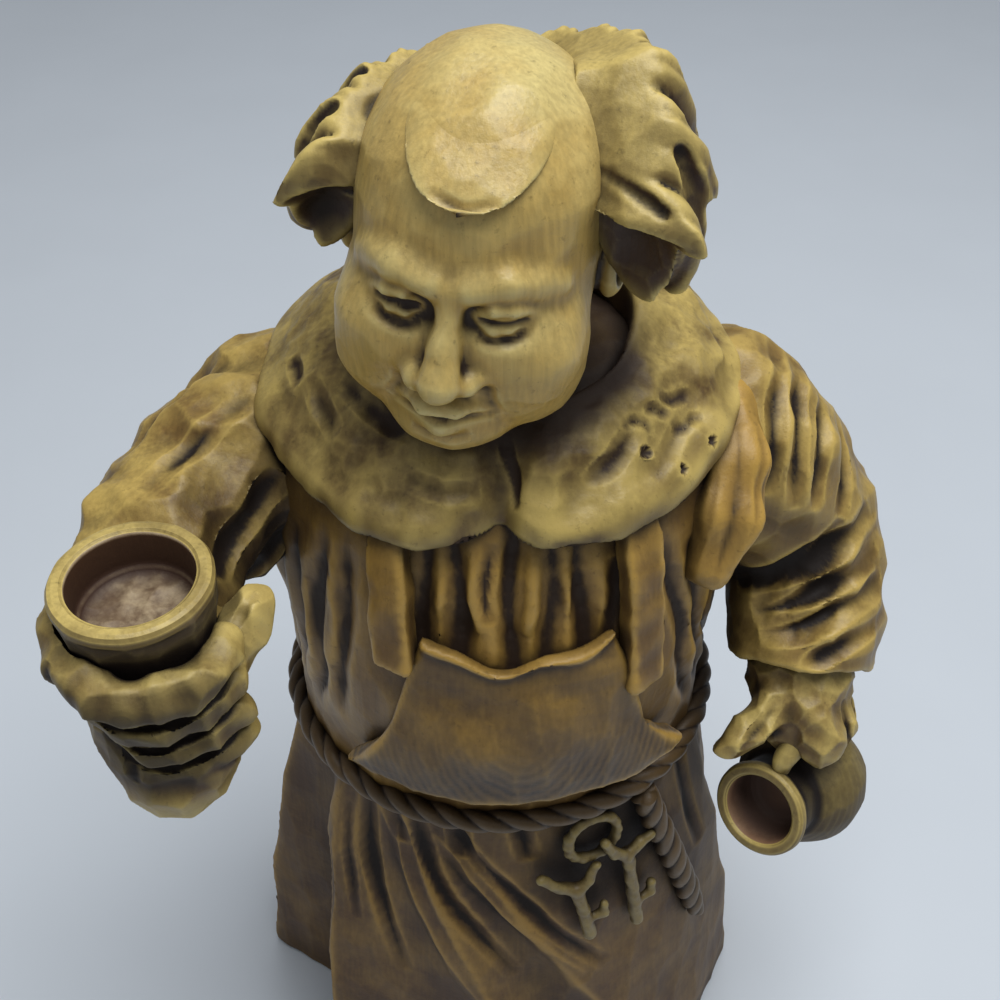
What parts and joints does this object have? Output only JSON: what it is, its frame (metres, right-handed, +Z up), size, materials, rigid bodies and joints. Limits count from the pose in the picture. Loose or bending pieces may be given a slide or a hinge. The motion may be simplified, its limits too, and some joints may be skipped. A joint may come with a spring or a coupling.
{
  "type": "carved monk figurine",
  "caption": "Standing carved wooden monk in a hooded habit, lifting a cup in one hand and holding a tilted jug in the other, with bib, rope girdle and keys.",
  "frame": {"origin": "middle of the flat underside of the hem, on the table", "axes": "+Z up through the crown, -Y the way the monk faces, +X to the jug side"},
  "size_m": [0.1435, 0.1213, 0.2513],
  "materials": {
    "habit": "brown-stained carved limewood, waxed",
    "flesh": "ochre-stained carved limewood, waxed",
    "hair": "ochre-stained gouged limewood, waxed",
    "collar": "straw-coloured rubbed limewood, waxed",
    "vessel": "turned limewood, stained and waxed",
    "girdle": "dark-stained carved limewood",
    "dowel": "bare turned beech"
  },
  "bodies": {
    "root": {"habit_skirt": "habit", "habit_torso": "habit", "waist_dowel": "dowel", "head": "flesh", "neck_dowel": "dowel", "hair_wreath": "hair", "forelock": "hair", "hood_collar": "collar", "scapular_bib": "habit", "right_strap": "collar", "left_strap": "collar", "shoulder_fold": "habit", "right_sleeve": "habit", "right_shoulder_dowel": "dowel", "right_hand": "flesh", "right_wrist_dowel": "dowel", "cup": "vessel", "cup_peg": "dowel", "left_sleeve": "habit", "left_shoulder_dowel": "dowel", "left_hand": "flesh", "left_wrist_dowel": "dowel", "jug": "vessel", "jug_handle": "vessel", "jug_peg": "dowel", "rope_girdle": "girdle", "rope_end": "girdle", "key_ring": "girdle", "long_key": "girdle", "short_key": "girdle"}
  },
  "joints": []
}
